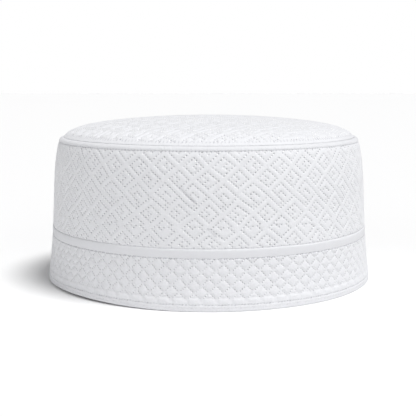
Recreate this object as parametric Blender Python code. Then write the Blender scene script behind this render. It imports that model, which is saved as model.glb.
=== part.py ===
"""A quilted cotton prayer cap, standing on its hem with its hollow open below.

The side wall is a turned shell in four bands and a seam ridge, and a shallow dome closes its top.
Heights are measured up from the surface that the cap stands on, and radii out from its upright axis.
"""

import math

import bmesh
import bpy
import numpy as np

MM = 0.001

# Driving sizes
HEAD_GIRTH = 570 * MM
WALL = 2.8 * MM
CROWN_CLOTH = 2.5 * MM
GAP = 0.3 * MM
HEM_RADIUS = HEAD_GIRTH / math.tau + WALL

# Heights of the sewn lines that part one band from the next
HEM_LINE = 3.35 * MM
CHANNEL_FOOT = 26.0 * MM
CHANNEL_TOP = 30.4 * MM
RIDGE_FOOT = 78.8 * MM
CROWN_LINE = 81.15 * MM

# Outer face of the side wall: height, and how far it is drawn in from the hem's radius
WALL_SECTIONS = (
    (0.0 * MM, 0.0 * MM),
    (4.0 * MM, 0.3 * MM),
    (9.0 * MM, 1.15 * MM),
    (18.0 * MM, 2.1 * MM),
    (27.0 * MM, 2.9 * MM),
    (36.0 * MM, 3.35 * MM),
    (50.0 * MM, 4.1 * MM),
    (64.0 * MM, 5.0 * MM),
    (76.0 * MM, 7.1 * MM),
    (81.15 * MM, 9.0 * MM),
)

# Outer face of the crown: radius, and rise above the crown line
CROWN_SECTIONS = (
    (0.0 * MM, 11.8 * MM),
    (16.9 * MM, 11.3 * MM),
    (35.5 * MM, 10.4 * MM),
    (52.4 * MM, 9.0 * MM),
    (65.0 * MM, 7.4 * MM),
    (72.6 * MM, 5.9 * MM),
    (77.7 * MM, 4.2 * MM),
    (81.1 * MM, 3.05 * MM),
    (83.2 * MM, 2.0 * MM),
    (84.5 * MM, 0.0 * MM),
)

# Quilting of the lower band, sewn as squares standing on a corner
DIAMONDS_ROUND = 78
DIAMOND_ROWS = 5
TOP_ROW_HEIGHT = 23.4 * MM
ROW_STEP = 3.55 * MM
PAD_LINE = 7.0 * MM
PAD_HEIGHT = 5.4 * MM
PAD_RISE = 0.45 * MM
STITCH_SINK = 0.5 * MM

# The seam's corded ridge, the channel and the rolled hem stand out a little from the wall
RIDGE_RISE = 0.3 * MM
CHANNEL_RISE = 0.45 * MM
HEM_ROLL = 0.6 * MM

SIDES = DIAMONDS_ROUND
MERGE = 0.001 * MM
SHARP_ANGLE = math.radians(34)

COTTON = {
    "crown": (0.88, 0.89, 0.92),
    "crown_seam": (0.84, 0.86, 0.89),
    "side_band": (0.86, 0.87, 0.90),
    "plain_band": (0.88, 0.89, 0.91),
    "lower_band": (0.86, 0.87, 0.90),
    "hem": (0.84, 0.86, 0.89),
}
COTTON_ROUGHNESS = 0.9


def clear_scene():
    for obj in list(bpy.data.objects):
        bpy.data.objects.remove(obj)


def curve_value(rows, at):
    """The second column where the first is `at`, on a smooth curve through the rows."""
    places, values = np.array(rows).T
    slopes = np.gradient(values, places)
    left = int(np.clip(np.searchsorted(places, at) - 1, 0, len(places) - 2))
    width = places[left + 1] - places[left]
    t = (at - places[left]) / width
    start = (1 + 2 * t) * (1 - t) ** 2 * values[left] + t * (1 - t) ** 2 * width * slopes[left]
    end = t * t * (3 - 2 * t) * values[left + 1] + t * t * (t - 1) * width * slopes[left + 1]
    return float(start + end)


def wall_radius(height):
    """Radius of the side wall's outer face."""
    return HEM_RADIUS - curve_value(WALL_SECTIONS, height)


def crown_height(radius):
    """Height of the crown's outer face."""
    return CROWN_LINE + curve_value(CROWN_SECTIONS, radius)


def spun(outline, sides, closed=True):
    """A bmesh of the outline, given as (radius, height) points, turned round the upright axis."""
    shell = bmesh.new()
    corners = [shell.verts.new((radius, 0, height)) for radius, height in outline]
    runs = list(zip(corners, corners[1:]))
    if closed:
        runs.append((corners[-1], corners[0]))
    edges = [shell.edges.new(run) for run in runs]
    bmesh.ops.spin(
        shell,
        geom=corners + edges,
        axis=(0, 0, 1),
        cent=(0, 0, 0),
        angle=math.tau,
        steps=sides,
        use_merge=True,
    )
    bmesh.ops.remove_doubles(shell, verts=shell.verts, dist=MERGE)
    bmesh.ops.recalc_face_normals(shell, faces=shell.faces)
    return shell


def cotton(name):
    material = bpy.data.materials.new(name)
    material.use_nodes = True
    shader = material.node_tree.nodes["Principled BSDF"]
    shader.inputs["Base Color"].default_value = (*COTTON[name], 1)
    shader.inputs["Roughness"].default_value = COTTON_ROUGHNESS
    shader.inputs["Metallic"].default_value = 0
    return material


def place(name, shell):
    """Makes the shell the named piece of the cap, standing in its place."""
    mesh = bpy.data.meshes.new(name)
    shell.to_mesh(mesh)
    shell.free()
    mesh.shade_smooth()
    mesh.set_sharp_from_angle(angle=SHARP_ANGLE)
    mesh.materials.append(cotton(name))
    piece = bpy.data.objects.new(name, mesh)
    bpy.context.scene.collection.objects.link(piece)
    return piece


def band_outline(foot, top, outer_heights, inner_heights, rise=0.0):
    """A wall's cross-section from foot to top, its outer face standing out by `rise` between its ends."""
    outer = [(wall_radius(height) + rise, height) for height in outer_heights]
    inner = [(wall_radius(height) - WALL, height) for height in inner_heights]
    return (
        [(wall_radius(foot), foot), *outer, (wall_radius(top), top)]
        + [(wall_radius(top) - WALL, top), *reversed(inner), (wall_radius(foot) - WALL, foot)]
    )


def make_hem():
    """The rolled edge, flat underneath, with its four corners rounded off."""
    top = HEM_LINE - GAP / 2
    outline = [
        (wall_radius(0) - HEM_ROLL, 0),
        (wall_radius(HEM_ROLL), HEM_ROLL),
        (wall_radius(top - HEM_ROLL), top - HEM_ROLL),
        (wall_radius(top) - HEM_ROLL, top),
        (wall_radius(top) - WALL + HEM_ROLL, top),
        (wall_radius(top) - WALL, top - HEM_ROLL),
        (wall_radius(HEM_ROLL) - WALL, HEM_ROLL),
        (wall_radius(0) - WALL + HEM_ROLL, 0),
    ]
    return place("hem", spun(outline, SIDES))


def quilt_levels():
    """Height of each level of the lower band, with which of its columns stand out as pads.

    Columns lie half a diamond apart. Even ones are pads where the second value is 0, odd ones
    where it is 1, and none where it is None, along a line of stitches.
    """
    levels = [(HEM_LINE + GAP / 2, None), (PAD_HEIGHT, 1), (PAD_LINE, None)]
    for row in reversed(range(DIAMOND_ROWS)):
        levels.append((TOP_ROW_HEIGHT - row * ROW_STEP, row % 2))
    levels.append((CHANNEL_FOOT - GAP / 2, None))
    return levels


def make_lower_band():
    """The wall's foot, where each diamond is a low pad and the stitches run along the valleys."""
    levels = quilt_levels()
    foot = levels[0][0]
    top = levels[-1][0]
    heights = [height for height, _ in levels[1:-1]]
    columns = 2 * DIAMONDS_ROUND
    shell = spun(band_outline(foot, top, heights, [(foot + top) / 2]), columns)
    padded = {round(height / MM, 3): odd for height, odd in levels}
    valleys = []
    for vert in shell.verts:
        radius = math.hypot(vert.co.x, vert.co.y)
        if radius < wall_radius(vert.co.z) - WALL / 2:
            continue
        odd = padded[round(vert.co.z / MM, 3)]
        column = round(math.atan2(vert.co.y, vert.co.x) / math.tau * columns) % columns
        is_pad = odd is not None and column % 2 == odd
        if not is_pad:
            valleys.append(vert)
        out = PAD_RISE if is_pad else -STITCH_SINK
        vert.co.x *= 1 + out / radius
        vert.co.y *= 1 + out / radius
    bmesh.ops.connect_verts(shell, verts=valleys)
    bmesh.ops.triangulate(shell, faces=shell.faces)
    return place("lower_band", shell)


def make_plain_band():
    """The smooth channel over the diamonds."""
    foot = CHANNEL_FOOT + GAP / 2
    top = CHANNEL_TOP - GAP / 2
    shoulder = (top - foot) / 4
    outline = band_outline(foot, top, [foot + shoulder, top - shoulder], [], CHANNEL_RISE)
    return place("plain_band", spun(outline, SIDES))


def make_side_band():
    """The tall quilted wall, which leans in faster towards the crown."""
    foot = CHANNEL_TOP + GAP / 2
    top = RIDGE_FOOT - GAP / 2
    outer = [(36 + 7 * step) * MM for step in range(5)] + [70 * MM, 74.5 * MM]
    inner = [50 * MM, 64 * MM, 72 * MM]
    return place("side_band", spun(band_outline(foot, top, outer, inner), SIDES))


def make_crown_seam():
    """The corded ridge under the crown's edge."""
    foot = RIDGE_FOOT + GAP / 2
    top = CROWN_LINE - GAP / 2
    middle = (foot + top) / 2
    return place("crown_seam", spun(band_outline(foot, top, [middle], [], RIDGE_RISE), SIDES))


def make_crown():
    """The dome: a shell of even height, open below, whose rim rests on the seam's ridge."""
    rim = CROWN_LINE + GAP / 2
    edge = CROWN_SECTIONS[-1][0]
    shoulder = (edge + CROWN_SECTIONS[-2][0]) / 2
    outer = [radius for radius, _ in CROWN_SECTIONS[:-1]] + [shoulder]
    inner = [CROWN_SECTIONS[row][0] for row in (6, 5, 4, 3, 2, 0)]
    outline = (
        [(radius, crown_height(radius)) for radius in outer]
        + [(edge, rim), (edge - WALL, rim)]
        + [(radius, crown_height(radius) - CROWN_CLOTH) for radius in inner]
    )
    return place("crown", spun(outline, SIDES, closed=False))


def main():
    clear_scene()
    make_hem()
    make_lower_band()
    make_plain_band()
    make_side_band()
    make_crown_seam()
    make_crown()


main()
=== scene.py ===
"""Looks of a white quilted prayer cap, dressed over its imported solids.

Every band of the cap is a padded cloth shell, turned round the upright axis or laid out as a fine
grid, whose quilting is worked out from its sewn lines: the cloth puffs up with the distance from a
line and dips into a hole at each stitch. Straight rows of stitches are threads of their own.
"""

import math
from collections import namedtuple

import bmesh
import bpy
import numpy as np
from bpy.props import FloatProperty, FloatVectorProperty, PointerProperty
from mathutils import Matrix, Vector


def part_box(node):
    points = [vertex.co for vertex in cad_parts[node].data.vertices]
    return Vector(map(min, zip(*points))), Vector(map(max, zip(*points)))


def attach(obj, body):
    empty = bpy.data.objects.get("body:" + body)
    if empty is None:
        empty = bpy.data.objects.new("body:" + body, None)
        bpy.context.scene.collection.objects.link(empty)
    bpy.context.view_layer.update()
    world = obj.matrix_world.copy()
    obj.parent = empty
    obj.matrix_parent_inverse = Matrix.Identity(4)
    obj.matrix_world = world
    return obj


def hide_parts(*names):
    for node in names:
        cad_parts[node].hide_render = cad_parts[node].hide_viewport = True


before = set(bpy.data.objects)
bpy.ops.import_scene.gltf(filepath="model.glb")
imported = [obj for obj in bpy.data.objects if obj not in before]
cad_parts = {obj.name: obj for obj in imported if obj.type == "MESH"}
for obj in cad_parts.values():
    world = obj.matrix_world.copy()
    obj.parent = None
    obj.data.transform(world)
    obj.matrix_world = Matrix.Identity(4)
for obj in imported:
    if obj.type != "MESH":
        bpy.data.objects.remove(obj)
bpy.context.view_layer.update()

bl_info = {
    "name": "Quilted prayer cap",
    "version": (1, 0, 0),
    "blender": (4, 5, 0),
    "location": "3D View > Sidebar > Prayer cap",
    "description": "Dresses the cap's solids in quilted cotton and lights them in a plain studio",
    "category": "Object",
}

MM = 0.001
MERGE = 0.002 * MM

Bar = namedtuple("Bar", "line start end")
Hook = namedtuple("Hook", "low_x low_y quarter_turns")
Wave = namedtuple("Wave", "size along up start")
Crease = namedtuple("Crease", "start_turn start_height end_turn end_height")
StitchRow = namedtuple("StitchRow", "count gap")
Finish = namedtuple("Finish", "greyness crinkles")


def line_between(lower, upper):
    """Height of the seam between two bands, halfway across the slit that parts their solids."""
    return (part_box(lower)[1].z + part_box(upper)[0].z) / 2


# Seams, three of them a little off the slits of the solids
HEM_LINE = line_between("hem", "lower_band")
CHANNEL_FOOT = line_between("lower_band", "plain_band")
CHANNEL_TOP = line_between("plain_band", "side_band") + 0.6 * MM
RIDGE_FOOT = line_between("side_band", "crown_seam") - 0.25 * MM
CROWN_LINE = line_between("crown_seam", "crown") - 0.25 * MM

# The fret is sewn on a lattice of square steps standing on a corner, one stitch to a step
FRET_REPEATS_ROUND = 38
FRET_PERIOD = 12
FRET_STEPS_UP = 45
CROWN_FRET_PERIOD = 48
CELL = 4
PITCH = 6

# Plain bars in one repeat of the fret, each with its middle line and its ends along that. A falling bar
# runs down to the right and a rising one up to the right
FALLING_BARS = (Bar(28, -18, 8), Bar(26, 3, 17), Bar(13, 2, 16))
RISING_BARS = (Bar(2, 28, 50), Bar(4, 14, 27), Bar(5, 3, 14))

# Small hooks on the ground between the bars, each in a square cell
HOOKS = (
    Hook(29, 3, 0), Hook(35, 3, 1), Hook(41, 3, 3), Hook(47, 3, 2),
    Hook(21, 5, 1), Hook(14, 5, 2), Hook(8, 6, 3), Hook(2, 6, 1),
)
HOOK_PATH = ((2, 4), (2, 2), (1, 2))

# Half a bar's width, how far hooks keep off the bars and how near a line a knot is sewn, in steps, and
# the repeats whose long bars reach into this one
HALF_BAR = 1
HOOK_ROOM = 0.5
SEWN_WITHIN = 0.1
REACHING_REPEATS = range(-5, 2)

# The diamonds of the lower band, over a row of long pads
DIAMONDS_ROUND = 78
TOP_ROW_HEIGHT = 23.1 * MM
ROW_STEP = 3.45 * MM
PAD_LINE = TOP_ROW_HEIGHT - 5 * ROW_STEP
PAD_TOP = 6.9 * MM
STITCHES_A_SIDE = 4

# Slow waves that draw each pattern out of true, in its own steps
FRET_ALONG = (Wave(0.3, 9, 0.11, 0), Wave(0.22, 23, -0.2, 1))
FRET_UP = (Wave(0.3, 14, 0.07, 2), Wave(0.2, 31, 0.15, 0))
CROWN_ALONG = (Wave(0.3, 70, 110, 0),)
CROWN_UP = (Wave(0.3, 90, -60, 1),)
DIAMOND_ALONG = (Wave(0.06, 17, 150, 0),)
DIAMOND_UP = (Wave(0.07, 29, -90, 0),)

# Slow waves in the wall itself
SLACK = (Wave(0.5, 3, 20, 0.8), Wave(0.3, 7, -60, 2.1), Wave(0.2, 13, 95, 0))
SLACK_SIZE = 0.16 * MM

# Level rows: how many stitches go round, and the part of each that is a gap between its needle holes
HEM_ROW = StitchRow(360, 0)
CHANNEL_ROW = StitchRow(208, 0.34)
RIDGE_ROW = StitchRow(290, 0)
CROWN_ROW = StitchRow(265, 0)

# Reach of a needle hole: on a lattice in stitches, and in a level row
KNOT_HOLE = 0.27
ROW_HOLE = 0.33 * MM

# How unevenly the stitches pull, by tables with a seed for each kind
PULL_RANGE = (0.5, 1.1)
PULL_TABLE = (97, 89)
FRET_SEED = 11
DIAMOND_SEED = 5
CROWN_SEED = 23

# Reach of the padding's slopes, on the fret in steps
FRET_SLOPE = 0.6
PAD_SLOPE = 1.1 * MM
PAD_DOME = 0.35

# How the quilting fades at a seam, and the lower band is drawn in
SEAM_FADE = 0.9 * MM
SEAM_WIDTH = 0.35 * MM
DRAW_IN_START = 0.7 * MM
DRAW_IN_REACH = 2.6 * MM

# Points to a step across the fret and to half a diamond, and levels of the narrow bands
FRET_FINENESS = 2
DIAMOND_FINENESS = 8
TRIM_STEPS = 8 * DIAMONDS_ROUND
CHANNEL_LEVELS = 12
RIDGE_LEVELS = 8
HEM_LEVELS = 12

# The wall's padding swells out further than its solid under the crown
TOP_SWELL = 0.3 * MM
SWELL_FOOT = 72 * MM
SWELL_REACH = 6 * MM

# Creases in the front of the wall, with painted shade along them
FRONT = -math.pi / 2
CREASES = (
    Crease(FRONT - math.radians(9.3), 61.1 * MM, FRONT - math.radians(4.5), 53.9 * MM),
    Crease(FRONT - math.radians(0.4), 41.0 * MM, FRONT + math.radians(2.3), 37.0 * MM),
)
CREASE_REACH = 10 * MM
CREASE_WIDTH = 0.3 * MM
CREASE_DEPTH = 0.4 * MM
CREASE_SHADE = 0.55

# The channel is fullest at this part of its height, and the ridge halfway up
CHANNEL_CREST = 0.8
RIDGE_RISE = 0.28 * MM

# The hem's fold, and its foot that is rounded and drawn in
HEM_FOLD = 1.75 * MM
HEM_RISE = 0.1 * MM
HEM_ROLL = 0.3 * MM
HEM_FOOT = 2 * MM
HEM_DRAW_IN = 0.15 * MM

# The crown's padding is rounder at its edge than the solid: radius, and rise above the crown line
SHOULDER = ((80.0 * MM, 3.1 * MM), (82.0 * MM, 1.65 * MM), (83.0 * MM, 0.6 * MM), (83.5 * MM, 0))
EDGE_TUCK = 1.1 * MM
CROWN_DROP = 0.35 * MM
CROWN_CLOTH = 2.5 * MM
CROWN_FADE = 1.4 * MM
# The painted shade and painted glints at the crown's needle holes are this much stronger
CROWN_PAINTED_SPOTS = 1.8

# Each finish's flat painted shade between its holes, for the light its band gets, and how much it shows of
# the small crinkles and their painted shade
FINISHES = {
    "wall_quilting": Finish(0, 1),
    "diamond_quilting": Finish(0.05, 1),
    "smooth_channel": Finish(0.11, 0.1),
    "seam_ridge": Finish(0.08, 1.3),
    "hem_cloth": Finish(0.07, 1.5),
    "crown_quilting": Finish(0, 1.2),
}

# The hem is lifted a little to the left of the front
HEM_LIFT = 1.1 * MM
LIFT_TURN = FRONT - math.radians(50)
LIFT_SPREAD = math.radians(27)
LIFT_REACH = 20 * MM

# The crown's grid ends in a round edge, and turned rings close its shoulder
CROWN_STEP = 1.24 * MM
CROWN_GRID_RADIUS = 81.9 * MM
SHOULDER_RINGS = (82.4 * MM, 82.8 * MM, 83.2 * MM, 83.5 * MM)
UNDERSIDE_RINGS = (78 * MM, 72 * MM, 62 * MM, 48 * MM, 32 * MM, 16 * MM)

# Patches and fuzz to a metre, the fuzz's height beside the weave's, and where on a crinkle its painted
# shade is
PATCHES_A_METRE = 45
FUZZ_A_METRE = 2600
FUZZ_SHARE = 1.6
CRINKLE_SHADE_RANGE = (0.45, 0.65)

# A spot fades between these parts of its radius, and a painted glint is this part of a stitch from its
# hole
SPOT_FADE = (1.35, 0.5)
GLINT_ASIDE = 0.42

# Where in the sky the light from overhead sets in, from 0 at the floor to 1 straight up
OVERHEAD_RANGE = (0.4, 0.85)
FLOOR_REACH = 6


def number(name, description, default, **kind):
    return FloatProperty(name=name, description=description, default=default, **kind)


def metres(name, description, default):
    return number(name, description, default, unit="LENGTH")


def tint(name, description, default):
    return FloatVectorProperty(
        name=name, description=description, default=default, subtype="COLOR", min=0, max=1
    )


class CapQuilting(bpy.types.PropertyGroup):
    """How thick the cloth is, and how far its quilting stands out."""

    wall: metres("Wall", "Thickness of the padded wall", 2.8 * MM)
    fret_rise: metres("Fret rise", "Height of the fret's plain bars over their stitches", 0.25 * MM)
    fret_sink: metres(
        "Fret sink", "Depth of the fret's sewn lines under the wall's face", 0.12 * MM
    )
    fret_hole: metres("Fret hole", "Depth of the hole at each of the fret's stitches", 0.42 * MM)
    crown_rise: metres("Crown rise", "Height of the crown's quilting over its stitches", 0.68 * MM)
    crown_sink: metres("Crown sink", "Depth of the crown's sewn lines under its face", 0.5 * MM)
    diamond_rise: metres("Diamond rise", "Height of a diamond's pad over its stitches", 0.5 * MM)
    diamond_sink: metres(
        "Diamond sink", "Depth of the diamonds' sewn lines under the wall's face", 0.22 * MM
    )
    diamond_hole: metres(
        "Diamond hole", "Depth of the hole at each of the diamonds' stitches", 0.32 * MM
    )
    channel_rise: metres("Channel rise", "How far the smooth channel stands out", 0.36 * MM)
    seam_depth: metres(
        "Seam depth", "Depth of the valley where two bands are sewn together", 0.15 * MM
    )


class CapCotton(bpy.types.PropertyGroup):
    """Colour and surface of the cotton."""

    light: tint("Light", "Cotton where it is cleanest", (0.782, 0.787, 0.81))
    shade: tint("Shade", "Cotton in its slightly greyer patches", (0.742, 0.748, 0.774))
    # Painted shade: the colour that needle holes, row holes, creases, crinkle specks and each finish's
    # flat shade darken towards
    hole: tint("Hole", "Cotton down in a needle hole", (0.4, 0.4, 0.44))
    # Painted highlight: the colour of the glint painted beside each needle hole, with a small bump of
    # thread under it
    painted_glint: tint("Painted glint", "Thread that catches the light beside a needle hole", (1, 1, 1))
    glint_height: metres("Fleck height", "Height of the thread beside a needle hole", 0.1 * MM)
    roughness: number("Roughness", "How matte the cotton is", 0.88, min=0, max=1)
    sheen: number("Sheen", "Soft glow of the cotton's fuzz", 0.2, min=0, max=1)
    hole_radius: number(
        "Hole radius", "Radius of a needle hole, as a part of a stitch's length",
        0.2, min=0, max=0.5, subtype="FACTOR",
    )
    hole_depth: metres("Hole depth", "Depth of the sharp middle of a needle hole", 0.15 * MM)
    crinkle_pitch: metres(
        "Crinkle pitch", "Distance from one small crinkle of the cloth to the next", 1.1 * MM
    )
    crinkle_depth: metres(
        "Crinkle depth", "Height of the small crinkles that the stitches leave", 0.22 * MM
    )
    # Painted shade: how dark the specks painted on the most crinkled cloth are
    crinkle_shade: number(
        "Speck", "How dark the specks are where the cloth is most crinkled", 0.3, min=0, max=1
    )
    weave_pitch: metres("Weave pitch", "Distance from thread to thread in the cloth", 0.42 * MM)
    weave_depth: metres("Weave depth", "Height of the weave's threads", 0.02 * MM)


class CapThread(bpy.types.PropertyGroup):
    """The straight rows of stitches."""

    width: metres("Width", "Width of a sewing thread", 0.42 * MM)
    share: number(
        "Share", "Part of a stitch's length where its thread shows", 0.85, min=0, max=1, subtype="FACTOR"
    )


class CapStudio(bpy.types.PropertyGroup):
    """Camera, floor and light."""

    camera_back: metres("Camera back", "From the cap's axis to the camera", 520.5 * MM)
    camera_right: metres(
        "Camera right", "From straight before the cap to the camera, rightwards", -0.42 * MM
    )
    camera_up: metres("Camera up", "From the floor to the camera", 114.3 * MM)
    camera_tilt: number(
        "Camera tilt", "How far the camera looks down", math.radians(8.32), subtype="ANGLE"
    )
    lens: number("Lens", "Focal length in millimetres on a 36 mm sensor", 77.3)
    floor: tint("Floor", "Colour of the floor", (0.9, 0.9, 0.902))
    overhead: number("Overhead", "Brightness of the light from above", 0.27, min=0)
    around: number("Around", "Brightness of the light from round the cap", 0.53, min=0)
    bright_side: number(
        "Bright side", "How far the brighter side lies to the right of the front",
        math.radians(-6), subtype="ANGLE",
    )
    one_sided: number(
        "One-sided", "How much brighter the light is from its bright side", 0.62, min=0
    )
    key: number("Key", "Strength of the soft key light", 2.5, min=0)
    key_side: FloatVectorProperty(
        name="Key side", description="Direction that the key light comes from",
        default=(0.32, -0.11, 1), subtype="XYZ",
    )
    key_spread: number(
        "Key spread", "Angle that the key light fills", math.radians(20), subtype="ANGLE"
    )


def curve_values(rows, at):
    """The second column where the first is `at`, on a smooth curve through the rows."""
    places, values = np.array(rows, float).T
    slopes = np.gradient(values, places)
    left = np.clip(np.searchsorted(places, at) - 1, 0, len(places) - 2)
    width = places[left + 1] - places[left]
    t = np.clip((at - places[left]) / width, 0, 1)
    start = (1 + 2 * t) * (1 - t) ** 2 * values[left] + t * (1 - t) ** 2 * width * slopes[left]
    end = t * t * (3 - 2 * t) * values[left + 1] + t * t * (t - 1) * width * slopes[left + 1]
    return start + end


def outer_points(node, upward, least):
    """Radius and height of the points of a CAD node's faces that look out, or out and up, from the cap."""
    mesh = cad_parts[node].data
    found = set()
    for face in mesh.polygons:
        away = Vector((face.center.x, face.center.y, 0)).normalized()
        if face.normal.dot(away) + upward * face.normal.z < least:
            continue
        for index in face.vertices:
            place = mesh.vertices[index].co
            found.add((round(math.hypot(place.x, place.y), 6), round(place.z, 6)))
    return sorted(found)


def wall_rows():
    """Height and radius of the wall's face, level by level, from the solids of its bands."""
    rows = []
    for node in ("hem", "lower_band", "side_band"):
        levels = {}
        for radius, height in outer_points(node, 0, 0.8):
            levels.setdefault(round(height, 5), []).append(radius)
        for height, radii in levels.items():
            in_relief = max(radii) - min(radii) > 0.1 * MM
            if in_relief or node != "lower_band":
                rows.append((height, (max(radii) + min(radii)) / 2))
    return sorted(rows)


def crown_rows():
    """Radius and height of the crown's face, ring by ring, from its solid up to the shoulder."""
    rings = {}
    for radius, height in outer_points("crown", 1, 0.4):
        if radius < SHOULDER[0][0] - MM:
            rings[round(radius, 4)] = max(height - CROWN_DROP, rings.get(round(radius, 4), 0))
    return sorted(rings.items()) + [(radius, CROWN_LINE + rise) for radius, rise in SHOULDER]


WALL_ROWS = wall_rows()
CROWN_ROWS = crown_rows()


def wall_radius(height):
    return curve_values(WALL_ROWS, height)


def crown_height(radius):
    return curve_values(CROWN_ROWS, radius)


def copy_round(shell, angle, copies):
    """Copies the shell round the cap's axis, evenly up to the given angle."""
    bmesh.ops.spin(
        shell, geom=[*shell.verts, *shell.edges, *shell.faces], axis=(0, 0, 1), cent=(0, 0, 0),
        angle=angle, steps=copies, use_duplicate=True,
    )


def turned(outline, steps, sectors):
    """A bmesh of a closed outline of (radius, height) points, turned round the cap's axis.

    One sector is turned and then copied round, which is far quicker than turning the whole way.
    """
    shell = bmesh.new()
    corners = [shell.verts.new((radius, 0, height)) for radius, height in outline]
    edges = [shell.edges.new(run) for run in zip(corners, corners[1:] + corners[:1])]
    sector = math.tau / sectors
    bmesh.ops.spin(
        shell, geom=corners + edges, axis=(0, 0, 1), cent=(0, 0, 0),
        angle=sector, steps=steps // sectors,
    )
    copy_round(shell, math.tau - sector, sectors - 1)
    bmesh.ops.remove_doubles(shell, verts=shell.verts, dist=MERGE)
    bmesh.ops.recalc_face_normals(shell, faces=shell.faces)
    return shell


def mesh_of(name, shell):
    mesh = bpy.data.meshes.new(name)
    shell.to_mesh(mesh)
    shell.free()
    mesh.shade_smooth()
    return mesh


def values_of(items, name, kind=float, width=1):
    """A named value of each item, or so many numbers of each, in one row."""
    values = np.empty(len(items) * width, kind)
    items.foreach_get(name, values)
    return values


def places_of(mesh):
    return values_of(mesh.vertices, "co", width=3).reshape(-1, 3)


def put_places(mesh, places):
    mesh.vertices.foreach_set("co", places.ravel())
    mesh.update()


def put_number(mesh, name, values):
    """Stores one number for each point, for the material to read."""
    mesh.attributes.new(name, "FLOAT", "POINT").data.foreach_set("value", values)


def put_maps(mesh, lattice=None):
    """UV maps: "Cloth" in metres, and "Knots" where each stitch's hole is at whole numbers."""
    places = places_of(mesh)
    corners = values_of(mesh.loops, "vertex_index", int)
    counts = values_of(mesh.polygons, "loop_total", int)
    middles = values_of(mesh.polygons, "center", width=3).reshape(-1, 3)
    middles = np.repeat(middles, counts, axis=0)
    x, y, z = places[corners].T
    middle_turn = np.arctan2(middles[:, 1], middles[:, 0])
    turn = middle_turn + wrapped(np.arctan2(y, x) - middle_turn, math.tau)
    on_crown = middles[:, 2] > CROWN_LINE
    across = np.where(on_crown, x, turn * wall_radius(CHANNEL_TOP))
    cloth = np.stack([across, np.where(on_crown, y, z)], axis=1)
    mesh.uv_layers.new(name="Cloth").data.foreach_set("uv", cloth.ravel())
    if lattice:
        knots = np.stack(lattice(x, y) if on_crown.any() else lattice(turn, z), axis=1)
        mesh.uv_layers.new(name="Knots").data.foreach_set("uv", knots.ravel())


def wrapped(value, period):
    return (value + period / 2) % period - period / 2


def hook_runs():
    """The straight runs of every hook, as (middle x, middle y, half x, half y)."""
    runs = []
    for hook in HOOKS:
        path = HOOK_PATH
        for _ in range(hook.quarter_turns):
            path = tuple((CELL - y, x) for x, y in path)
        for (x0, y0), (x1, y1) in zip(path, path[1:]):
            middle = (hook.low_x + (x0 + x1) / 2, hook.low_y + (y0 + y1) / 2)
            runs.append((*middle, abs(x1 - x0) / 2, abs(y1 - y0) / 2))
    return runs


def bar_boxes():
    """Every plain bar, as (middle x, middle y, half x, half y)."""
    falling = [
        (line, (start + end) / 2, HALF_BAR, (end - start) / 2) for line, start, end in FALLING_BARS
    ]
    rising = [
        ((start + end) / 2, line, (end - start) / 2, HALF_BAR) for line, start, end in RISING_BARS
    ]
    return falling + rising


HOOK_RUNS = hook_runs()
BAR_BOXES = bar_boxes()


def off_box(x, y, box, shift):
    """Distance from the outline of a box moved along both axes, less than 0 inside it."""
    middle_x, middle_y, half_x, half_y = box
    past_x = abs(x - middle_x - shift) - half_x
    past_y = abs(y - middle_y - shift) - half_y
    outside = np.hypot(np.maximum(past_x, 0), np.maximum(past_y, 0))
    return outside + np.minimum(np.maximum(past_x, past_y), 0)


def fret_distance(x, y):
    """Steps of the lattice from each point to the nearest sewn line.

    The fret repeats along the wall, where x and y both grow by the pitch of its bars. Bars that
    cross or meet run into one another, so only the outline of them all together is sewn.
    """
    repeat = np.floor((x + y) / 2 / PITCH)
    x = x - PITCH * repeat
    y = y - PITCH * repeat
    off_bars = np.full(np.shape(x), float(FRET_PERIOD))
    off_hooks = np.full(np.shape(x), float(FRET_PERIOD))
    for shift in REACHING_REPEATS:
        for box in BAR_BOXES:
            off_bars = np.minimum(off_bars, off_box(x, y, box, PITCH * shift))
        for run in HOOK_RUNS:
            off_hooks = np.minimum(off_hooks, off_box(x, y, run, PITCH * shift))
    off_hooks = np.where(off_bars > HOOK_ROOM, off_hooks, FRET_PERIOD)
    return np.minimum(abs(off_bars), off_hooks)


def fret_is_sewn(x, y):
    """True at the knots of the lattice that lie on a sewn line."""
    return fret_distance(x, y) < SEWN_WITHIN


def diamond_is_sewn(x, y):
    """True along one of the diamonds' lines, but not where two cross."""
    return (x % STITCHES_A_SIDE == 0) != (y % STITCHES_A_SIDE == 0)


def drawn(waves, along, up):
    """How far slow waves draw the cloth at each place."""
    return sum(wave.size * np.sin(wave.along * along + wave.up * up + wave.start) for wave in waves)


def puckers(turn, size, count, drift, drifts):
    """Small waves along a seam, whose spacing drifts so often round the cap."""
    return size * np.sin(turn * count + drift * np.sin(turn * drifts))


def fret_lattice(turn, height):
    """Where a place on the wall lies on the fret's lattice."""
    across = turn / math.tau * FRET_REPEATS_ROUND * FRET_PERIOD
    up = (height - CHANNEL_TOP) / (RIDGE_FOOT - CHANNEL_TOP) * FRET_STEPS_UP
    across = across + drawn(FRET_ALONG, turn, up)
    up = up + drawn(FRET_UP, turn, up)
    return (across + up) / 2, (across - up) / 2


def crown_lattice(x, y):
    """Where a place on the crown lies on its fret's lattice."""
    across = x / CROWN_STEP + drawn(CROWN_ALONG, x, y)
    up = y / CROWN_STEP + drawn(CROWN_UP, x, y)
    return (across + up) / 2, (across - up) / 2


def crown_fret_distance(x, y):
    """Steps to the nearest sewn line on the crown, where the wall's fret repeats up as well."""
    lift = np.floor((x - y) / CROWN_FRET_PERIOD) * CROWN_FRET_PERIOD / 2
    return fret_distance(x - lift, y + lift)


def crown_is_sewn(x, y):
    return crown_fret_distance(x, y) < SEWN_WITHIN


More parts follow.
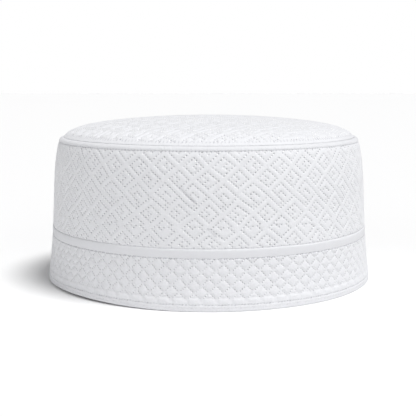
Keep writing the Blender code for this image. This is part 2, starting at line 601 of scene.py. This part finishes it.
def diamond_lattice(turn, height):
    """Where a place on the lower band lies between the diamonds' lines, which are at whole numbers."""
    across = turn / math.tau * 2 * DIAMONDS_ROUND + drawn(DIAMOND_ALONG, turn, height)
    up = (height - TOP_ROW_HEIGHT) / ROW_STEP + drawn(DIAMOND_UP, turn, height)
    return (across + up + 1) / 2, (across - up + 1) / 2


def diamond_knots(turn, height):
    x, y = diamond_lattice(turn, height)
    return STITCHES_A_SIDE * x, STITCHES_A_SIDE * y


def pulls(x, y, is_sewn, seed):
    """How hard the nearest knot is pulled, 0 where none is sewn, and how much of its hole reaches here."""
    knot_x = np.round(x)
    knot_y = np.round(y)
    pull = is_sewn(knot_x, knot_y) * uneven(knot_x, knot_y, seed)
    return pull, pull * near_line(np.hypot(x - knot_x, y - knot_y), KNOT_HOLE)


def valley(distance, reach):
    """0 on a sewn line, rising softly to 1 at the given reach from it."""
    share = np.clip(distance / reach, 0, 1)
    return share * share * (3 - 2 * share)


def uneven(x, y, seed):
    """A number near 1 for each knot of a lattice, since no two stitches pull alike."""
    table = np.random.default_rng(seed).uniform(*PULL_RANGE, PULL_TABLE)
    return table[x.astype(int) % PULL_TABLE[0], y.astype(int) % PULL_TABLE[1]]


def settled(places, out):
    """The places moved out, with the slack of the cloth and the lift of the hem beside its front."""
    radius = np.hypot(places[:, 0], places[:, 1])
    turn = np.arctan2(places[:, 1], places[:, 0])
    out = out + SLACK_SIZE * drawn(SLACK, turn, places[:, 2])
    lift = HEM_LIFT * near_line(wrapped(turn - LIFT_TURN, math.tau), LIFT_SPREAD)
    up = places[:, 2] + lift * (1 - valley(places[:, 2], LIFT_REACH))
    return np.column_stack([places[:, :2] * (1 + out / radius)[:, None], up])


def near_line(distance, reach):
    """1 on a sewn line, falling to 0 at the given reach from it."""
    return np.exp(-((distance / reach) ** 2))


def band_outline(foot, top, rows):
    """A wall's closed outline: its face in even rows from foot to top, and a coarser back."""
    wall = bpy.context.scene.cap_quilting.wall
    face = [(float(wall_radius(height)), height) for height in np.linspace(foot, top, rows + 1)]
    back = [
        (float(wall_radius(height)) - wall, height)
        for height in np.linspace(top, foot, max(3, rows // 12))
    ]
    return face + back


def puff_out(mesh, relief, slot):
    """Moves the face's points out by its relief, and stores the painted shade of its holes for the
    material.

    relief gives the height, the painted shade of its rows' holes and its creases, and how hard the nearest
    knot pulls; each finish's flat painted shade is added.
    """
    quilting = bpy.context.scene.cap_quilting
    places = places_of(mesh)
    radius = np.hypot(places[:, 0], places[:, 1])
    turn = np.arctan2(places[:, 1], places[:, 0])
    on_face = radius > wall_radius(places[:, 2]) - quilting.wall / 2
    out, shade, pull = relief(quilting, turn, places[:, 2])
    put_places(mesh, settled(places, np.where(on_face, out, 0)))
    put_number(mesh, "shade", np.maximum(shade, FINISHES[slot].greyness) * on_face)
    put_number(mesh, "pull", pull * on_face)


def node_colour(tree, colour):
    node = tree.nodes.new("ShaderNodeRGB")
    node.outputs[0].default_value = (*colour, 1)
    return node.outputs[0]


def calculate(tree, operation, first, second=None):
    """A Math node on two sockets or numbers."""
    node = tree.nodes.new("ShaderNodeMath")
    node.operation = operation
    for socket, value in zip(node.inputs, (first, second)):
        if isinstance(value, (int, float)):
            socket.default_value = value
        elif value is not None:
            tree.links.new(value, socket)
    return node.outputs[0]


def blend_colours(tree, share, first, second):
    node = tree.nodes.new("ShaderNodeMix")
    node.data_type = "RGBA"
    for socket, value in (("Factor", share), ("A", first), ("B", second)):
        found = [end for end in node.inputs if end.name == socket and end.enabled]
        tree.links.new(value, found[0])
    return [end for end in node.outputs if end.enabled][0]


def map_parts(tree, name):
    """The two coordinates of one of the mesh's own maps."""
    node = tree.nodes.new("ShaderNodeUVMap")
    node.uv_map = name
    parts = tree.nodes.new("ShaderNodeSeparateXYZ")
    tree.links.new(node.outputs[0], parts.inputs[0])
    return parts.outputs[0], parts.outputs[1]


def ramp(tree, value, span, top=1, shape="SMOOTHSTEP"):
    """Rises from 0 to the top as the value goes from the span's start to its end."""
    node = tree.nodes.new("ShaderNodeMapRange")
    node.interpolation_type = shape
    for socket, setting in (("From Min", span[0]), ("From Max", span[1]), ("To Max", top)):
        node.inputs[socket].default_value = setting
    tree.links.new(value, node.inputs["Value"])
    return node.outputs[0]


def weave_height(tree, pitch):
    """Height of a plain weave, from -1 to 1, along the cloth's own map."""
    waves = [
        calculate(tree, "SINE", calculate(tree, "MULTIPLY", part, math.tau / pitch))
        for part in map_parts(tree, "Cloth")
    ]
    return calculate(tree, "MULTIPLY", *waves)


def number_at(tree, name):
    """A number stored at the points of the mesh."""
    node = tree.nodes.new("ShaderNodeAttribute")
    node.attribute_name = name
    return node.outputs["Fac"]


def knot_spots(tree, radius, aside=0.0):
    """1 in a round spot at each sewn knot and 0 off it, or in a spot so far aside from each."""
    across, up = map_parts(tree, "Knots")
    moved = (calculate(tree, "ADD", across, aside), up)
    off = [calculate(tree, "PINGPONG", part, 0.5) for part in moved]
    squares = [calculate(tree, "MULTIPLY", part, part) for part in off]
    away = calculate(tree, "SQRT", calculate(tree, "ADD", *squares))
    spots = ramp(tree, away, [radius * part for part in SPOT_FADE])
    return calculate(tree, "MULTIPLY", spots, number_at(tree, "pull"))


def noise(tree, scale, detail):
    """Soft random patches from 0 to 1 through the cloth, about as many to a metre as the scale says."""
    place = tree.nodes.new("ShaderNodeTexCoord")
    node = tree.nodes.new("ShaderNodeTexNoise")
    node.inputs["Scale"].default_value = scale
    node.inputs["Detail"].default_value = detail
    tree.links.new(place.outputs["Object"], node.inputs["Vector"])
    return node.outputs["Fac"]


def matte_material(name, roughness, specular):
    """A new material, and its shader."""
    material = bpy.data.materials.new(name)
    material.use_nodes = True
    shader = material.node_tree.nodes["Principled BSDF"]
    shader.inputs["Roughness"].default_value = roughness
    shader.inputs["Specular IOR Level"].default_value = specular
    return material, shader


def cotton(name, quilted, crinkled):
    """White cotton: grey patches, small crinkles with painted specks of shade, painted shade and glints at
    needle holes, and a plain weave in relief.
    """
    looks = bpy.context.scene.cap_cotton
    material, shader = matte_material(name, looks.roughness, specular=0.25)
    tree = material.node_tree
    patches = noise(tree, PATCHES_A_METRE, 4)
    fuzz = noise(tree, FUZZ_A_METRE, 3)
    crinkles = noise(tree, 1 / looks.crinkle_pitch, 2)
    weave = weave_height(tree, looks.weave_pitch)
    height = calculate(tree, "ADD", weave, calculate(tree, "MULTIPLY", fuzz, FUZZ_SHARE))
    height = calculate(tree, "MULTIPLY", height, looks.weave_depth)
    crinkle = calculate(tree, "MULTIPLY", crinkles, looks.crinkle_depth * crinkled)
    height = calculate(tree, "ADD", height, crinkle)
    cloth = blend_colours(
        tree, patches, node_colour(tree, looks.light), node_colour(tree, looks.shade)
    )
    # Painted shade: dark specks on the most crinkled cloth, standing in for the shade between its crinkles
    specks = ramp(tree, crinkles, CRINKLE_SHADE_RANGE, looks.crinkle_shade * max(crinkled - 1, 0), "LINEAR")
    dark = calculate(tree, "MAXIMUM", number_at(tree, "shade"), specks)
    if quilted:
        # Painted shade in each needle hole, and a painted highlight beside it where the hole's lit wall
        # would be
        holes = knot_spots(tree, looks.hole_radius)
        painted_glints = knot_spots(tree, looks.hole_radius, aside=GLINT_ASIDE)
        depth = calculate(tree, "MULTIPLY", holes, looks.hole_depth)
        height = calculate(tree, "SUBTRACT", height, depth)
        thread = calculate(tree, "MULTIPLY", painted_glints, looks.glint_height)
        height = calculate(tree, "ADD", height, thread)
        dark = calculate(tree, "MAXIMUM", dark, holes)
        cloth = blend_colours(tree, painted_glints, cloth, node_colour(tree, looks.painted_glint))
    # The cloth is darkened towards the hole colour by all the painted shade
    colour = blend_colours(tree, dark, cloth, node_colour(tree, looks.hole))
    tree.links.new(colour, shader.inputs["Base Color"])
    bump = tree.nodes.new("ShaderNodeBump")
    bump.inputs["Distance"].default_value = 1
    bump.inputs["Strength"].default_value = 1
    tree.links.new(height, bump.inputs["Height"])
    tree.links.new(bump.outputs["Normal"], shader.inputs["Normal"])
    shader.inputs["Sheen Weight"].default_value = looks.sheen
    shader.inputs["Sheen Roughness"].default_value = 0.5
    return material


def add_object(name, data):
    item = bpy.data.objects.new(name, data)
    bpy.context.scene.collection.objects.link(item)
    return item


def dress(mesh, slot, node=None):
    """Puts the mesh on the cap as a piece of the given finish, in place of a CAD node or beside one."""
    piece = add_object(mesh.name, mesh)
    quilted = "Knots" in mesh.uv_layers
    mesh.materials.append(cotton(mesh.name + "_cotton", quilted, FINISHES[slot].crinkles))
    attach(piece, "root")
    if node:
        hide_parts(node)


def make_band(name, outline, steps, relief, slot, node, lattice=None):
    """Turns a band of the wall, puffs out its cloth and puts it on the cap in place of its CAD node."""
    mesh = mesh_of(name, turned(outline, steps, DIAMONDS_ROUND))
    puff_out(mesh, relief, slot)
    put_maps(mesh, lattice)
    dress(mesh, slot, node)


def side_relief(quilting, turn, height):
    """The fret, between the rows of stitches at the wall's foot and top, and the wall's creases."""
    x, y = fret_lattice(turn, height)
    pull, hole = pulls(x, y, fret_is_sewn, FRET_SEED)
    above = row_holes(turn, RIDGE_FOOT - height, RIDGE_ROW)
    below = row_holes(turn, height - CHANNEL_TOP, CHANNEL_ROW)
    crease = near_line(crease_distance(turn, height), CREASE_WIDTH)
    edge = np.minimum(height - CHANNEL_TOP, RIDGE_FOOT - height)
    out = quilting.fret_rise * valley(fret_distance(x, y), FRET_SLOPE) - quilting.fret_sink
    out = out * valley(edge, SEAM_FADE)
    out = out - quilting.fret_hole * np.maximum(hole, np.maximum(0.4 * above, 0.3 * below))
    out = out + TOP_SWELL * valley(height - SWELL_FOOT, SWELL_REACH)
    # Painted shade in the needle holes of the rows above and below, and along the creases
    shade = np.maximum(0.9 * above, 0.5 * below)
    return out - CREASE_DEPTH * crease, np.maximum(shade, CREASE_SHADE * crease), pull


class CAP_OT_side_band(bpy.types.Operator):
    """Quilts the tall upper part of the wall with the fret, in a front and a back half"""

    bl_idname = "cap.side_band"
    bl_label = "Side band"

    def execute(self, context):
        outline = band_outline(CHANNEL_TOP, RIDGE_FOOT, FRET_FINENESS * FRET_STEPS_UP)
        columns = FRET_FINENESS * FRET_REPEATS_ROUND * FRET_PERIOD
        whole = mesh_of("whole_wall", turned(outline, columns, FRET_REPEATS_ROUND))
        puff_out(whole, side_relief, "wall_quilting")
        kept = whole.attributes.new("whole_normal", "FLOAT_VECTOR", "POINT")
        kept.data.foreach_set("vector", values_of(whole.vertex_normals, "vector", width=3))
        for name, side in (("side_band_front", -1), ("side_band_back", 1)):
            dress(half_of(whole, name, side), "wall_quilting", "side_band")
        bpy.data.meshes.remove(whole)
        return {"FINISHED"}


def crease_distance(turn, height):
    """Metres from each point of the wall to the nearest crease."""
    nearest = np.full(np.shape(turn), CREASE_REACH)
    for start_turn, start_height, end_turn, end_height in CREASES:
        radius = wall_radius(start_height)
        along = np.array([(end_turn - start_turn) * radius, end_height - start_height])
        across = wrapped(turn - start_turn, math.tau) * radius
        up = height - start_height
        share = np.clip((across * along[0] + up * along[1]) / along.dot(along), 0, 1)
        nearest = np.minimum(nearest, np.hypot(across - share * along[0], up - share * along[1]))
    return nearest


def half_of(whole, name, side):
    """The front or back half of a turned wall, closed at its cuts and shaded as the whole is."""
    half = bmesh.new()
    half.from_mesh(whole)
    other = [face for face in half.faces if face.calc_center_median().y * side < 0]
    bmesh.ops.delete(half, geom=other, context="FACES")
    cuts = [edge for edge in half.edges if edge.is_boundary]
    caps = bmesh.ops.holes_fill(half, edges=cuts, sides=0)["faces"]
    for edge in cuts:
        edge.smooth = False
    for cap in caps:
        cap.smooth = False
    mesh = mesh_of(name, half)
    normals = values_of(mesh.attributes["whole_normal"].data, "vector", width=3)
    mesh.normals_split_custom_set_from_vertices(normals.reshape(-1, 3))
    put_maps(mesh, fret_lattice)
    return mesh


def diamond_relief(quilting, turn, height):
    """A pad inside each diamond of sewn lines, and a row of long pads under them."""
    x, y = diamond_lattice(turn, np.where(height > PAD_TOP, height, PAD_LINE))
    side = math.hypot(ROW_STEP, math.tau * wall_radius(PAD_LINE) / 2 / DIAMONDS_ROUND)
    beside_x = abs(x - np.round(x)) * side
    beside_y = abs(y - np.round(y)) * side
    dome = abs(np.sin(math.pi * x) * np.sin(math.pi * y))
    puff = valley(beside_x, PAD_SLOPE) * valley(beside_y, PAD_SLOPE)
    puff = puff * (1 - PAD_DOME + PAD_DOME * dome)
    puff = puff * valley(CHANNEL_FOOT - height + 0.3 * MM, 0.8 * MM)
    puff = puff * valley(height - HEM_LINE + DRAW_IN_START, DRAW_IN_REACH)
    puff = puff * (1 - near_line(height - PAD_TOP, 0.55 * MM))
    knots = diamond_knots(turn, height)
    sewn = height > PAD_TOP - 0.2 * MM
    pull, hole = (value * sewn for value in pulls(*knots, diamond_is_sewn, DIAMOND_SEED))
    between = abs(np.sin(math.pi * knots[0])) + abs(np.sin(math.pi * knots[1]))
    thread = near_line(np.minimum(beside_x, beside_y), SEAM_WIDTH) * np.minimum(between, 1)
    above = row_holes(turn, CHANNEL_FOOT - height, CHANNEL_ROW)
    below = row_holes(turn, height - HEM_LINE, HEM_ROW)
    edge = np.minimum(height - HEM_LINE, CHANNEL_FOOT - height)
    drawn_in = quilting.diamond_sink * valley(edge + DRAW_IN_START, DRAW_IN_REACH)
    out = quilting.diamond_rise * puff - drawn_in
    out = out + 0.2 * MM * thread * valley(edge, 1.2 * MM) * sewn
    out = out - quilting.seam_depth * near_line(height - HEM_LINE, SEAM_WIDTH)
    out = out - quilting.diamond_hole * np.maximum(hole, np.maximum(0.8 * above, 0.5 * below))
    # Painted shade in the needle holes of the rows above and below
    return out, np.maximum(above, 0.9 * below), pull


class CAP_OT_lower_band(bpy.types.Operator):
    """Quilts the wall's foot with staggered diamonds over a row of long pads"""

    bl_idname = "cap.lower_band"
    bl_label = "Lower band"

    def execute(self, context):
        levels = round((CHANNEL_FOOT - HEM_LINE) / ROW_STEP * DIAMOND_FINENESS)
        outline = band_outline(HEM_LINE, CHANNEL_FOOT, levels)
        make_band(
            "lower_band_quilting", outline, 2 * DIAMONDS_ROUND * DIAMOND_FINENESS,
            diamond_relief, "diamond_quilting", "lower_band", lattice=diamond_knots,
        )
        return {"FINISHED"}


def row_holes(turn, off, row):
    """Needle holes along a level row, in pairs with a gap between where the row has one."""
    count, gap = row
    place = turn / math.tau * count
    pitch = math.tau * wall_radius(CHANNEL_FOOT) / count
    from_hole = abs(abs(wrapped(place, 1)) - gap / 2) * pitch
    pull = uneven(np.round(place), np.zeros_like(place), count)
    return near_line(np.hypot(off, from_hole), ROW_HOLE) * pull


def channel_relief(quilting, turn, height):
    """The smooth channel, fullest near its top and puckered along its two rows of stitches."""
    share = (height - CHANNEL_FOOT) / (CHANNEL_TOP - CHANNEL_FOOT)
    under_crest = share / CHANNEL_CREST - 1
    over_crest = (share - CHANNEL_CREST) / (1 - CHANNEL_CREST)
    crest = 1 - abs(np.where(share < CHANNEL_CREST, under_crest, over_crest)) ** 1.5
    edge = np.minimum(height - CHANNEL_FOOT, CHANNEL_TOP - height)
    pucker = 0.05 * MM * np.sin(turn * CHANNEL_ROW.count) * near_line(edge, 1.0 * MM)
    dents = puckers(turn, size=0.05 * MM, count=61, drift=4, drifts=5)
    holes = row_holes(turn, edge, CHANNEL_ROW)
    out = quilting.channel_rise * crest + (pucker + dents) * crest
    # Painted shade in the rows' needle holes, mostly along the foot row
    shade = holes * np.where(share < 0.5, 1, 0.2)
    return out - 0.6 * quilting.fret_hole * holes, shade, 0.0


class CAP_OT_plain_band(bpy.types.Operator):
    """Fills the smooth channel between the fret and the diamonds"""

    bl_idname = "cap.plain_band"
    bl_label = "Plain band"

    def execute(self, context):
        outline = band_outline(CHANNEL_FOOT, CHANNEL_TOP, CHANNEL_LEVELS)
        make_band(
            "plain_band_channel", outline, 2 * TRIM_STEPS,
            channel_relief, "smooth_channel", "plain_band",
        )
        return {"FINISHED"}


def ridge_relief(quilting, turn, height):
    """The corded ridge: round, puckered by its stitches, and tucked in under the crown."""
    share = (height - RIDGE_FOOT) / (CROWN_LINE - RIDGE_FOOT)
    crest = np.clip(np.sin(math.pi * share), 0, 1) ** 0.7
    out = (RIDGE_RISE + puckers(turn, size=0.07 * MM, count=300, drift=2, drifts=9)) * crest
    out = out + TOP_SWELL * (1 - share) - EDGE_TUCK * share**2.5
    holes = row_holes(turn, height - RIDGE_FOOT, RIDGE_ROW)
    # Painted shade in the needle holes of its row
    return out - 0.4 * quilting.fret_hole * holes, 0.9 * holes, 0.0


class CAP_OT_crown_seam(bpy.types.Operator):
    """Turns the corded ridge under the crown"""

    bl_idname = "cap.crown_seam"
    bl_label = "Crown seam"

    def execute(self, context):
        outline = band_outline(RIDGE_FOOT, CROWN_LINE, RIDGE_LEVELS)
        make_band(
            "crown_seam_ridge", outline, 2 * TRIM_STEPS,
            ridge_relief, "seam_ridge", "crown_seam",
        )
        return {"FINISHED"}


def hem_relief(quilting, turn, height):
    """The hem: a row of stitches at its top, painted shade for a fainter row of holes along its fold, and
    its foot drawn in.
    """
    above = np.clip(np.sin(math.pi * (height - HEM_FOLD) / (HEM_LINE - HEM_FOLD)), 0, 1)
    below = np.clip(np.sin(math.pi * (height + 0.3 * MM) / (HEM_FOLD + 0.3 * MM)), 0, 1)
    crest = np.where(height > HEM_FOLD, above, below)
    out = (HEM_RISE + puckers(turn, size=0.06 * MM, count=260, drift=3, drifts=7)) * crest
    out = out - HEM_DRAW_IN * (1 - np.clip(height / HEM_FOOT, 0, 1)) ** 2
    out = out - quilting.seam_depth * near_line(HEM_LINE - height, SEAM_WIDTH)
    holes = row_holes(turn, HEM_LINE - height, HEM_ROW)
    faint = 0.4 * row_holes(turn + 0.003, height - HEM_FOLD, HEM_ROW)
    # Painted shade in the needle holes of both rows; the fold's row has no hole in the cloth
    return out - quilting.diamond_hole * holes, np.maximum(holes, faint), 0.0


class CAP_OT_hem(bpy.types.Operator):
    """Rolls the hem that the cap stands on"""

    bl_idname = "cap.hem"
    bl_label = "Hem"

    def execute(self, context):
        wall = context.scene.cap_quilting.wall
        base = float(wall_radius(0))
        rounded = 0.45 * MM
        outline = [
            (base - wall + HEM_ROLL, 0),
            (base - HEM_ROLL, 0),
            (base - 0.2 * HEM_ROLL, rounded / 3),
            *band_outline(rounded, HEM_LINE, HEM_LEVELS)[:-1],
            (base - wall, rounded),
        ]
        make_band("hem_roll", outline, TRIM_STEPS, hem_relief, "hem_cloth", "hem")
        return {"FINISHED"}


class CAP_OT_crown(bpy.types.Operator):
    """Lays the quilted crown over the wall and turns its edge down to the ridge"""

    bl_idname = "cap.crown"
    bl_label = "Crown"

    def execute(self, context):
        quilting = context.scene.cap_quilting
        grid = crown_grid()
        rim = [edge for edge in grid.edges if edge.is_boundary]
        radii = [*SHOULDER_RINGS, SHOULDER_RINGS[-1] - quilting.wall, *UNDERSIDE_RINGS]
        heights = [float(crown_height(radius)) for radius in SHOULDER_RINGS] + [CROWN_LINE]
        heights += [float(crown_height(radius)) - CROWN_CLOTH for radius in UNDERSIDE_RINGS]
        for radius, height in zip(radii, heights):
            made = bmesh.ops.extrude_edge_only(grid, edges=rim)["geom"]
            for vert in [item for item in made if isinstance(item, bmesh.types.BMVert)]:
                scale = radius / math.hypot(vert.co.x, vert.co.y)
                vert.co = (vert.co.x * scale, vert.co.y * scale, height)
            rim = [item for item in made if isinstance(item, bmesh.types.BMEdge)]
        bmesh.ops.holes_fill(grid, edges=rim, sides=0)
        bmesh.ops.recalc_face_normals(grid, faces=grid.faces)
        mesh = mesh_of("crown_quilting", grid)
        self.quilt(mesh, quilting)
        put_maps(mesh, crown_lattice)
        dress(mesh, "crown_quilting", "crown")
        return {"FINISHED"}

    def quilt(self, mesh, quilting):
        """Raises the fret out of the crown's face, along the face's own slope."""
        places = places_of(mesh)
        radius = np.maximum(np.hypot(places[:, 0], places[:, 1]), 0.01 * MM)
        turn = np.arctan2(places[:, 1], places[:, 0])
        on_face = abs(places[:, 2] - crown_height(radius)) < 0.5 * MM
        x, y = crown_lattice(places[:, 0], places[:, 1])
        pull, hole = pulls(x, y, crown_is_sewn, CROWN_SEED)
        inside = valley(CROWN_GRID_RADIUS - radius, CROWN_FADE) * on_face
        row = row_holes(turn, CROWN_GRID_RADIUS - radius, CROWN_ROW) * on_face
        puff = valley(crown_fret_distance(x, y), FRET_SLOPE)
        out = quilting.crown_rise * puff - quilting.crown_sink
        out = (out - quilting.fret_hole * hole) * inside - 0.5 * quilting.fret_hole * row
        step = 0.1 * MM
        slope = (crown_height(radius + step) - crown_height(radius - step)) / (2 * step)
        lean = -slope / np.hypot(1, slope)
        places[:, :2] *= (1 + out * lean / radius)[:, None]
        places[:, 2] += out / np.hypot(1, slope)
        put_places(mesh, places)
        # Painted shade in the needle holes of the row at the crown's edge
        put_number(mesh, "shade", 0.8 * row)
        put_number(mesh, "pull", CROWN_PAINTED_SPOTS * pull * inside)


def crown_grid():
    """A fine square grid over the crown, cut round and bent to its dome."""
    spacing = CROWN_STEP / FRET_FINENESS
    count = math.ceil(CROWN_GRID_RADIUS / spacing)
    grid = bmesh.new()
    bmesh.ops.create_grid(
        grid, x_segments=2 * count, y_segments=2 * count, size=count * spacing
    )
    past = [vert for vert in grid.verts if vert.co.length > CROWN_GRID_RADIUS]
    bmesh.ops.delete(grid, geom=past, context="VERTS")
    ears = [vert for vert in grid.verts if len(vert.link_faces) < 2]
    bmesh.ops.delete(grid, geom=ears, context="VERTS")
    for vert in grid.verts:
        if vert.is_boundary:
            vert.co *= CROWN_GRID_RADIUS / vert.co.length
    heights = crown_height(np.array([vert.co.xy.length for vert in grid.verts]))
    for vert, height in zip(grid.verts, heights):
        vert.co.z = height
    return grid


class CAP_OT_stitches(bpy.types.Operator):
    """Sews the level rows of stitches along the seams, the channel and the hem"""

    bl_idname = "cap.stitches"
    bl_label = "Stitches"

    def execute(self, context):
        quilting = context.scene.cap_quilting
        sunk = quilting.seam_depth + 0.05 * MM
        rows = (
            ("hem_stitches", HEM_LINE, -0.05 * MM, HEM_ROW, "hem_cloth"),
            ("channel_foot_stitches", CHANNEL_FOOT, -0.2 * MM, CHANNEL_ROW, "smooth_channel"),
            ("channel_top_stitches", CHANNEL_TOP, -0.05 * MM, CHANNEL_ROW, "smooth_channel"),
            ("ridge_stitches", RIDGE_FOOT, TOP_SWELL, RIDGE_ROW, "seam_ridge"),
        )
        for name, height, out, row, slot in rows:
            radius = float(wall_radius(height)) + out - sunk
            dress(stitch_row(name, radius, height, row), slot)
        height = float(crown_height(CROWN_GRID_RADIUS)) - 0.25 * MM
        crown_row = stitch_row("crown_edge_stitches", CROWN_GRID_RADIUS, height, CROWN_ROW)
        dress(crown_row, "crown_quilting")
        return {"FINISHED"}


def stitch_row(name, radius, height, stitches):
    """A ring of short plump threads, each with its ends down in its needle holes."""
    thread = bpy.context.scene.cap_thread
    count, gap = stitches
    length = math.tau * radius / count * (1 - gap) * thread.share
    row = bmesh.new()
    bmesh.ops.create_uvsphere(row, u_segments=6, v_segments=5, radius=0.5)
    shape = Matrix.Diagonal((thread.width, length, thread.width, 1))
    to_middle = Matrix.Rotation(math.pi / count, 4, "Z") @ Matrix.Translation((radius, 0, height))
    bmesh.ops.transform(row, verts=row.verts, matrix=to_middle @ shape)
    copy_round(row, math.tau * (count - 1) / count, count - 1)
    bmesh.ops.recalc_face_normals(row, faces=row.faces)
    mesh = mesh_of(name, row)
    if height < CROWN_LINE:
        put_places(mesh, settled(places_of(mesh), 0))
    put_maps(mesh)
    return mesh


class CAP_OT_studio(bpy.types.Operator):
    """Sets the floor, the soft light and the camera"""

    bl_idname = "cap.studio"
    bl_label = "Studio"

    def execute(self, context):
        studio = context.scene.cap_studio
        lay_floor(studio)
        light_sky(studio)
        hang_key_light(studio)
        aim_camera(studio)
        context.scene.view_settings.view_transform = "Standard"
        return {"FINISHED"}


def lay_floor(studio):
    plane = bmesh.new()
    bmesh.ops.create_grid(plane, x_segments=1, y_segments=1, size=FLOOR_REACH)
    mesh = mesh_of("floor", plane)
    material, shader = matte_material("floor_paper", roughness=0.9, specular=0.1)
    shader.inputs["Base Color"].default_value = (*studio.floor, 1)
    mesh.materials.append(material)
    floor = add_object("floor", mesh)


def light_sky(studio):
    """A soft dome of light, dimmer overhead and brighter from one side, white where it is seen."""
    world = bpy.data.worlds.new("studio_light")
    bpy.context.scene.world = world
    world.use_nodes = True
    tree = world.node_tree
    dome = tree.nodes["Background"]
    direction = tree.nodes.new("ShaderNodeTexCoord")
    parts = tree.nodes.new("ShaderNodeSeparateXYZ")
    tree.links.new(direction.outputs["Generated"], parts.inputs[0])
    sideways = calculate(tree, "MULTIPLY", parts.outputs[0], math.sin(studio.bright_side))
    forwards = calculate(tree, "MULTIPLY", parts.outputs[1], -math.cos(studio.bright_side))
    towards = calculate(tree, "ADD", sideways, forwards)
    around = calculate(tree, "MULTIPLY", towards, studio.one_sided)
    around = calculate(tree, "ADD", around, studio.around)
    lift = ramp(tree, parts.outputs[2], OVERHEAD_RANGE)
    high = calculate(tree, "MULTIPLY", lift, studio.overhead)
    low = calculate(tree, "MULTIPLY", calculate(tree, "SUBTRACT", 1.0, lift), around)
    tree.links.new(calculate(tree, "ADD", high, low), dome.inputs["Strength"])
    seen = tree.nodes.new("ShaderNodeBackground")
    path = tree.nodes.new("ShaderNodeLightPath")
    choice = tree.nodes.new("ShaderNodeMixShader")
    tree.links.new(path.outputs["Is Camera Ray"], choice.inputs[0])
    for light, socket in zip((dome, seen), choice.inputs[1:]):
        light.inputs["Color"].default_value = (1, 1, 1, 1)
        tree.links.new(light.outputs[0], socket)
    tree.links.new(choice.outputs[0], tree.nodes["World Output"].inputs["Surface"])


def hang_key_light(studio):
    lamp = bpy.data.lights.new("key_light", "SUN")
    lamp.energy = studio.key
    lamp.angle = studio.key_spread
    key = add_object("key_light", lamp)
    key.rotation_euler = Vector(studio.key_side).to_track_quat("Z", "Y").to_euler()


def aim_camera(studio):
    lens = bpy.data.cameras.new("camera")
    lens.lens = studio.lens
    lens.sensor_width = 36
    camera = add_object("camera", lens)
    camera.location = (studio.camera_right, -studio.camera_back, studio.camera_up)
    camera.rotation_euler = (math.pi / 2 - studio.camera_tilt, 0, 0)
    bpy.context.scene.camera = camera


STEPS = (
    CAP_OT_side_band, CAP_OT_lower_band, CAP_OT_plain_band, CAP_OT_crown_seam,
    CAP_OT_hem, CAP_OT_crown, CAP_OT_stitches, CAP_OT_studio,
)

SETTINGS = {
    "cap_quilting": CapQuilting,
    "cap_cotton": CapCotton,
    "cap_thread": CapThread,
    "cap_studio": CapStudio,
}


class CAP_PT_panel(bpy.types.Panel):
    """Lists the cap's pieces and their settings"""

    bl_idname = "CAP_PT_panel"
    bl_label = "Prayer cap"
    bl_space_type = "VIEW_3D"
    bl_region_type = "UI"
    bl_category = "Prayer cap"

    def draw(self, context):
        for step in STEPS:
            self.layout.operator(step.bl_idname)
        for group in SETTINGS:
            settings = getattr(context.scene, group)
            for name in settings.__annotations__:
                self.layout.prop(settings, name)


CLASSES = (*SETTINGS.values(), *STEPS, CAP_PT_panel)


def register():
    for item in CLASSES:
        bpy.utils.register_class(item)
    for name, group in SETTINGS.items():
        setattr(bpy.types.Scene, name, PointerProperty(type=group))


def unregister():
    for name in SETTINGS:
        delattr(bpy.types.Scene, name)
    for item in reversed(CLASSES):
        bpy.utils.unregister_class(item)


def main():
    register()
    for step in STEPS:
        getattr(bpy.ops.cap, step.bl_idname.removeprefix("cap."))()


if __name__ == "__main__":
    main()
